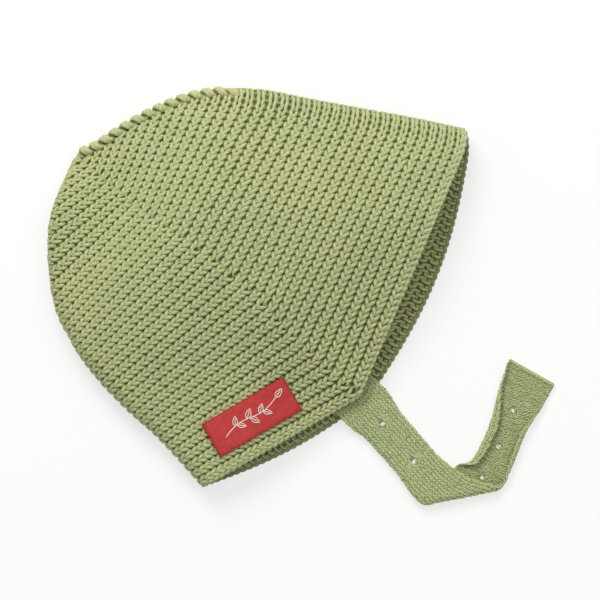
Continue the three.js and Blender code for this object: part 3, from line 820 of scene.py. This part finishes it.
def strap_ground():
    """A grid on the strap's surface, opened at the eyelets, without the cells inside them. Its map is
    the flat strap, a strip 12 mm to either side of its middle."""
    columns = np.linspace(-1, 1, int(STRAP_WIDTH / GROUND_CELL) + 1) * 0.985
    stations = np.arange(STRAP_AT[0], STRAP_AT[-1] - 0.6, GROUND_CELL)
    width, at = (v.ravel() for v in np.meshgrid(columns * STRAP_WIDTH / 2, stations))
    wide = len(columns)
    cell = (np.arange(len(stations) - 1)[:, None] * wide + np.arange(wide - 1)).ravel()
    faces = np.stack([cell, cell + 1, cell + wide + 1, cell + wide], -1)
    middle = np.stack([width[faces].mean(1), at[faces].mean(1)], -1)
    nearest = np.min([np.hypot(middle[:, 0], middle[:, 1] - place) for place in EYELETS], axis=0)
    faces = faces[nearest > GROUND_GAP]
    width, at = opened(width, at, [(0, place) for place in EYELETS], GROUND_HOLE, EYELET_REACH)
    used, faces = np.unique(faces, return_inverse=True)
    width, at = width[used], at[used]
    points = strap_cloth(at, width / STRAP_WIDTH * 2, np.zeros(len(at)))
    mesh = new_mesh("strap_ground", points, faces.reshape(-1, 4))
    lay_map(mesh, "OFBake", np.stack([(width + 12) / 24 * 0.2 + 0.01, (at + 8) / 132], -1))
    return walled(linked("strap_ground", mesh), GROUND_THICKNESS)


ground = strap_ground()
# Painted shade: the sheet is coloured darker than the strap's yarn.
ground.data.materials.append(shaded_fuzz_material("strap_fuzz_painted_shade", (0.13, 0.16, 0.05), (0.28, 0.33, 0.15)))
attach(ground, "root")

# ---- the label ----
# A narrow ribbon woven in red satin, folded under at its short ends and sewn to the upper side by
# hand along all four edges with red thread. It carries a small plain leaf sprig in cream thread.
LABEL_CENTRE = np.array([-20.6, -50.1])
LABEL_ANGLE = np.radians(30.1)
LABEL_WIDTH, LABEL_HEIGHT = 40.3, 16.3
LABEL_THICKNESS = 0.75
LABEL_OFF = 1.75  # its underside over the middle of the knitting
LABEL_ACROSS, LABEL_UP = 120, 48
LABEL_JAG, JAG_WAVE = 0.12, 5.3  # how uneven its folded ends are
EDGE_DROP, EDGE_REACH = 0.55, 0.7  # how far the sewing draws its edges down, and how far in
PUCKER_HEIGHT, PUCKER_LENGTH, PUCKER_REACH = 0.10, 2.6, 1.3
WAVE_HEIGHT, WAVE_ALONG, WAVE_UP = 0.12, 0.33, 0.3
NEWTON_STEPS = 12
LABEL_WAY = np.array([np.cos(LABEL_ANGLE), np.sin(LABEL_ANGLE)])
LABEL_SIDE = np.array([-LABEL_WAY[1], LABEL_WAY[0]])


def cap_top(plan):
    """Height of the upper side's mid wall at points in plan: from a first guess of column and turn,
    Newton steps, each the plan error divided by the two slopes."""
    column, turn = np.full(len(plan), 34.0), np.full(len(plan), 0.8)
    for _ in range(NEWTON_STEPS):
        here = cap_wall(column, turn)
        by_column = (cap_wall(column + 0.01, turn) - here) / 0.01
        by_turn = (cap_wall(column, turn + 0.001) - here) / 0.001
        miss = plan - here[:, :2]
        area = by_column[:, 0] * by_turn[:, 1] - by_column[:, 1] * by_turn[:, 0]
        column = column + (miss[:, 0] * by_turn[:, 1] - miss[:, 1] * by_turn[:, 0]) / area
        turn = turn + (by_column[:, 0] * miss[:, 1] - by_column[:, 1] * miss[:, 0]) / area
    return cap_wall(column, turn)[:, 2]


def label_points(u, v, height):
    """Points over the cap from places on the label, in millimetres from its middle."""
    plan = LABEL_CENTRE + u[:, None] * LABEL_WAY + v[:, None] * LABEL_SIDE
    return np.concatenate([plan, (cap_top(plan) + height)[:, None]], -1)


def label_face_height(u, v):
    """The label's face over the cap: level, drawn down to the knitting at its edges by the sewing,
    with slight puckers between the stitches there."""
    inset = np.minimum(LABEL_WIDTH / 2 - np.abs(u), LABEL_HEIGHT / 2 - np.abs(v))
    round_u, round_v = 2 * np.pi * u / PUCKER_LENGTH, 2 * np.pi * v / PUCKER_LENGTH
    pucker = PUCKER_HEIGHT * np.sin(round_u) * np.sin(round_v + 1) * np.exp(-inset / PUCKER_REACH)
    wave = WAVE_HEIGHT * np.sin(u * WAVE_ALONG + 0.6) * np.cos(v * WAVE_UP)
    return LABEL_OFF + LABEL_THICKNESS - EDGE_DROP * np.exp(-inset / EDGE_REACH) + pucker + wave


def label_mesh():
    """A closed slab of two grids, the lower one thickness below the upper, with slightly uneven
    folded ends."""
    u, v = (a.ravel() for a in np.meshgrid(
        np.linspace(-0.5, 0.5, LABEL_ACROSS + 1) * LABEL_WIDTH,
        np.linspace(-0.5, 0.5, LABEL_UP + 1) * LABEL_HEIGHT,
    ))
    jag = LABEL_JAG * np.sin(v * JAG_WAVE) * (np.abs(u) > LABEL_WIDTH / 2 - 0.01) * np.sign(u)
    face = label_face_height(u, v)
    points = np.concatenate([
        label_points(u + jag, v, face - LABEL_THICKNESS), label_points(u + jag, v, face),
    ])
    wide, count = LABEL_ACROSS + 1, len(u)
    cell = (np.arange(LABEL_UP)[:, None] * wide + np.arange(LABEL_ACROSS)).ravel()
    below = np.stack([cell + wide, cell + wide + 1, cell + 1, cell], -1)
    over = below[:, ::-1] + count
    k, j = np.arange(LABEL_ACROSS), np.arange(LABEL_UP)
    rim = np.concatenate([
        k, j * wide + LABEL_ACROSS, LABEL_UP * wide + LABEL_ACROSS - k, (LABEL_UP - j) * wide,
    ])
    after = np.roll(rim, -1)
    walls = np.stack([rim, after, after + count, rim + count], -1)
    faces = np.concatenate([below, over, walls])
    mesh = new_mesh("label_ribbon", points, faces)
    lay_map(mesh, "woven", np.tile(np.stack([u, v], -1), (2, 1)))
    mesh.polygons.foreach_set("use_smooth", np.arange(len(faces)) < len(below) + len(over))
    return linked("label_ribbon", mesh)


def satin_material(name, dark, light, warp, weft):
    """Satin ribbon: fine threads along the ribbon as ridges |sin| across it, broken by the weft's
    slower ridges, as colour and bump, with some noise in the threads' tone."""
    material, tree = new_material(name, {
        "Roughness": 0.55, "Sheen Weight": 0.15, "Specular IOR Level": 0.4,
    })
    woven = add_node(tree, "ShaderNodeUVMap", {}, uv_map="woven").outputs["UV"]
    along, across = (
        add_node(tree, "ShaderNodeTexWave", {
            "Vector": woven, "Scale": scale, "Distortion": 0.6, "Detail": 1,
        }, bands_direction=direction).outputs["Fac"]
        for direction, scale in (("X", weft), ("Y", warp))
    )
    both = sums(tree, "MULTIPLY_ADD", along, 0.45, across)
    tone = sums(tree, "MULTIPLY", both, noise(tree, woven, 0.35, 3), clamp=True)
    surface(tree, mixed(tree, tone, dark, light), both, 0.08, 0.5)
    return material


label = label_mesh()
label.data.materials.append(satin_material(
    "label_satin", dark=(0.36, 0.012, 0.014), light=(0.70, 0.055, 0.045), warp=1.1, weft=0.75,
))
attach(label, "root")
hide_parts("label")

# ---- the label's sewing and its sprig ----
# Short overcast stitches of red thread hold the ribbon down along its edges. The sprig is worked in
# cream thread: a curved stem with paired leaves, each an outline that stands just off the satin.
STITCH_GAP = 1.25
STITCH_LENGTH = 0.95
STITCH_OUT = 0.32  # how far outside the edge it comes up
STITCH_LEAN = 0.35
STITCH_FOOT, STITCH_ARCH, STITCH_RISE = 1.95, 0.62, 0.2  # heights over the middle of the knitting
STITCH_POINTS = 7
THREAD_RADIUS = 0.17
SPRIG_RADIUS, SPRIG_OFF = 0.2, 0.1
STEM_FOOT, STEM_REACH, STEM_SWAY = np.array([-14, -2.0]), np.array([27, 4.2]), 1.3
LEAF_WIDTH = 0.24  # half a leaf's width, as a share of its length
# Each leaf's place along the stem, its lean from it in degrees, and its length.
LEAVES = (
    (0.22, 50, 4.2), (0.26, -48, 4.0), (0.44, 52, 4.6), (0.50, -50, 4.4),
    (0.66, 48, 4.2), (0.72, -46, 4.0), (1.0, 0, 4.6),
)


def sewing():
    """Each stitch is an arch over the ribbon's edge: half a sine in height from just outside the edge
    to just inside it, leaning along it."""
    sides = []
    for way, length, out in ((0, LABEL_WIDTH, LABEL_HEIGHT), (1, LABEL_HEIGHT, LABEL_WIDTH)):
        places = np.arange(-length / 2 + 0.7, length / 2 - 0.5, STITCH_GAP)
        for sign in (-1, 1):
            t = np.linspace(0, 1, STITCH_POINTS)[None]
            along = places[:, None] + STITCH_LEAN * t
            off = sign * (out / 2 + STITCH_OUT - STITCH_LENGTH * t) + 0 * along
            height = STITCH_FOOT + STITCH_ARCH * np.sin(np.pi * t) + STITCH_RISE * t + 0 * along
            sides.append(np.stack([along, off, height] if way == 0 else [off, along, height], -1))
    arches = np.concatenate(sides)
    u, v, height = arches.reshape(-1, 3).T
    return label_points(u, v, height), np.full(len(arches), arches.shape[1])


def stem(s):
    """The sprig's stem: a straight way across the label plus a slow sine upwards."""
    s = np.asarray(s)[..., None]
    return STEM_FOOT + STEM_REACH * s + [0, STEM_SWAY] * np.sin(2 * np.pi * s)


def sprig():
    """The stem and its leaves, each leaf a closed outline whose half width is a sine of the way along
    it, pointed at both ends, with a vein in its middle."""
    lines = [stem(np.linspace(0, 1, 60))]
    t = np.linspace(0, 1, 15)
    for s, lean, size in LEAVES:
        foot = stem(s)
        way = stem(s + 0.01) - stem(s - 0.01)
        angle = np.arctan2(way[1], way[0]) + np.radians(lean)
        axis, side = np.array([[np.cos(angle), np.sin(angle)], [-np.sin(angle), np.cos(angle)]])
        bulge = LEAF_WIDTH * size * np.sin(np.pi * t**0.8)
        there = foot + size * t[:, None] * axis + bulge[:, None] * side
        back = (foot + size * t[:, None] * axis - bulge[:, None] * side)[::-1]
        lines.append(np.concatenate([there, back[1:]]))
        lines.append(foot + size * np.linspace(0.05, 0.8, 9)[:, None] * axis)
    u, v = np.concatenate(lines).T
    height = label_face_height(u, v) + SPRIG_OFF
    return label_points(u, v, height), np.array([len(line) for line in lines])


def thread_material(name, dark, light):
    """Sewing thread: the plied yarn pattern at thread size, from dark to light, which is painted shade
    in the grooves between plies, with a low gloss.
    """
    material, tree = new_material(name, {"Roughness": 0.5, "Specular IOR Level": 0.4})
    ply = add_node(tree, "ShaderNodeGroup", {"Pitch": 0.9}, node_tree=PLIED_YARN).outputs["Height"]
    surface(tree, mixed(tree, ply, dark, light), ply, 0.05)
    return material


for name, (centre, runs), radius, dark, light in (
    ("label_sewing", sewing(), THREAD_RADIUS, (0.20, 0.01, 0.012), (0.48, 0.035, 0.03)),
    ("label_sprig", sprig(), SPRIG_RADIUS, (0.66, 0.58, 0.50), (0.90, 0.84, 0.76)),
):
    upright = np.tile([0.0, 0.0, 1.0], (len(centre), 1))
    threads = yarn_mesh(name, centre, upright, runs, radius)
    threads.data.materials.append(thread_material(name, dark, light))
    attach(threads, "root")

# ---- the button ----
# A plain pressed resin button lies under the lower side, where it is sewn on for the strap's eyelets.
# It has a raised rim, a hollowed face and four holes.
BUTTON_TURNS = 64
FACE_RINGS, FACE_RADIUS, FACE_HEIGHT = 22, 4.3, 0.75
# Radius and height round the rim, from the hollowed face below to the flat back above.
BUTTON_RIM = np.array([
    [4.6, 0.6], [4.9, 0.25], [5.3, 0.02], [5.7, 0.08], [5.9, 0.3],
    [6, 0.7], [6, 2.2], [5.9, 2.7], [5.6, 2.93], [5, 3],
])
BACK_RINGS, BACK_RADIUS, BACK_HEIGHT = 8, 4.4, 3.0
HOLE_RADIUS, HOLE_AT, HOLE_DEPTH = 0.75, 1.65, 1.5


def button_mesh():
    """A closed disc: a profile of radius and height carried round the middle. The lower face is
    hollowed inside its rim, and four wells sink into it where the holes are."""
    radii = np.concatenate([
        np.linspace(0.02, FACE_RADIUS, FACE_RINGS), BUTTON_RIM[:, 0],
        np.linspace(BACK_RADIUS, 0.02, BACK_RINGS),
    ])
    heights = np.concatenate([
        np.full(FACE_RINGS, FACE_HEIGHT), BUTTON_RIM[:, 1], np.full(BACK_RINGS, BACK_HEIGHT),
    ])
    turns = 2 * np.pi * np.arange(BUTTON_TURNS) / BUTTON_TURNS
    x, y = radii[:, None] * np.cos(turns), radii[:, None] * np.sin(turns)
    z = np.repeat(heights[:, None], BUTTON_TURNS, 1)
    for quarter in range(4):
        angle = np.pi / 4 + quarter * np.pi / 2
        away = np.hypot(x - HOLE_AT * np.cos(angle), y - HOLE_AT * np.sin(angle))
        z[:FACE_RINGS] += (HOLE_DEPTH * smooth_step((HOLE_RADIUS + 0.25 - away) / 0.35))[:FACE_RINGS]
    points = np.stack([x + BUTTON_CENTRE[0], y + BUTTON_CENTRE[1], z], -1).reshape(-1, 3)
    ring = np.arange(len(radii) - 1)[:, None] * BUTTON_TURNS
    k = np.arange(BUTTON_TURNS)
    after = (k + 1) % BUTTON_TURNS
    quads = np.stack([ring + k, ring + BUTTON_TURNS + k, ring + BUTTON_TURNS + after, ring + after], -1)
    last = (len(radii) - 1) * BUTTON_TURNS
    faces = quads.reshape(-1, 4).tolist() + [k.tolist(), (last + k[::-1]).tolist()]
    return linked("button_disc", new_mesh("button_disc", points, faces))


def resin_material(name, dark, light):
    """Pressed resin: soft cloudy streaks of noise in the colour and as bump, and a low gloss."""
    material, tree = new_material(name, {"Roughness": 0.32, "Coat Weight": 0.3})
    place = add_node(tree, "ShaderNodeTexCoord", {}).outputs["Object"]
    cloud = noise(tree, place, 260, 4, Distortion=1.2)
    surface(tree, mixed(tree, cloud, dark, light), cloud, 0.05, 0.15)
    return material


button = button_mesh()
button.data.materials.append(resin_material("button_resin", (0.22, 0.27, 0.10), (0.42, 0.47, 0.24)))
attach(button, "root")
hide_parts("button")

# ---- the table, the light and the camera ----
# The bonnet lies on a plain white table. Broad light falls from above, a little stronger from the
# upper left, and the camera looks straight down from far off.
TABLE_HALF = 3.0
table_mesh = bpy.data.meshes.new("table")
corners = np.array([[-1, -1, 0], [1, -1, 0], [1, 1, 0], [-1, 1, 0]]) * TABLE_HALF
table_mesh.from_pydata(corners, [], [(0, 1, 2, 3)])
table = linked("table", table_mesh)
paper, _ = new_material("white_table", {
    "Base Color": (0.3, 0.3, 0.3, 1), "Roughness": 0.9,
    "Emission Color": (1, 1, 1, 1), "Emission Strength": 0.64,
})
table_mesh.materials.append(paper)

world = bpy.data.worlds.new("studio")
world.use_nodes = True
world.node_tree.nodes["Background"].inputs["Color"].default_value = (1, 1, 1, 1)
world.node_tree.nodes["Background"].inputs["Strength"].default_value = 0.5
bpy.context.scene.world = world
bpy.context.scene.view_settings.view_transform = "Standard"


def soft_lamp(name, place, size, power, colour):
    """A square lamp that faces the middle of the table."""
    data = bpy.data.lights.new(name, "AREA")
    data.size, data.energy, data.color = size, power, colour
    lamp = linked(name, data)
    lamp.location = place
    lamp.rotation_euler = (-lamp.location).to_track_quat("-Z", "Y").to_euler()


soft_lamp("key", (-0.4, 0.95, 1.0), 0.7, 15.0, (1, 0.985, 0.95))
soft_lamp("fill", (0.7, 0.5, 1.2), 0.9, 5.0, (0.97, 0.985, 1))

CAMERA_HEIGHT = 3.0
PICTURE_WIDTH = 0.258
camera_data = bpy.data.cameras.new("camera")
camera_data.sensor_width = 36
camera_data.lens = 36 * CAMERA_HEIGHT / PICTURE_WIDTH
camera_data.clip_end = 20
camera = linked("camera", camera_data)
camera.location = (PLAN_SHIFT[0] * MM, PLAN_SHIFT[1] * MM, CAMERA_HEIGHT)
bpy.context.scene.camera = camera
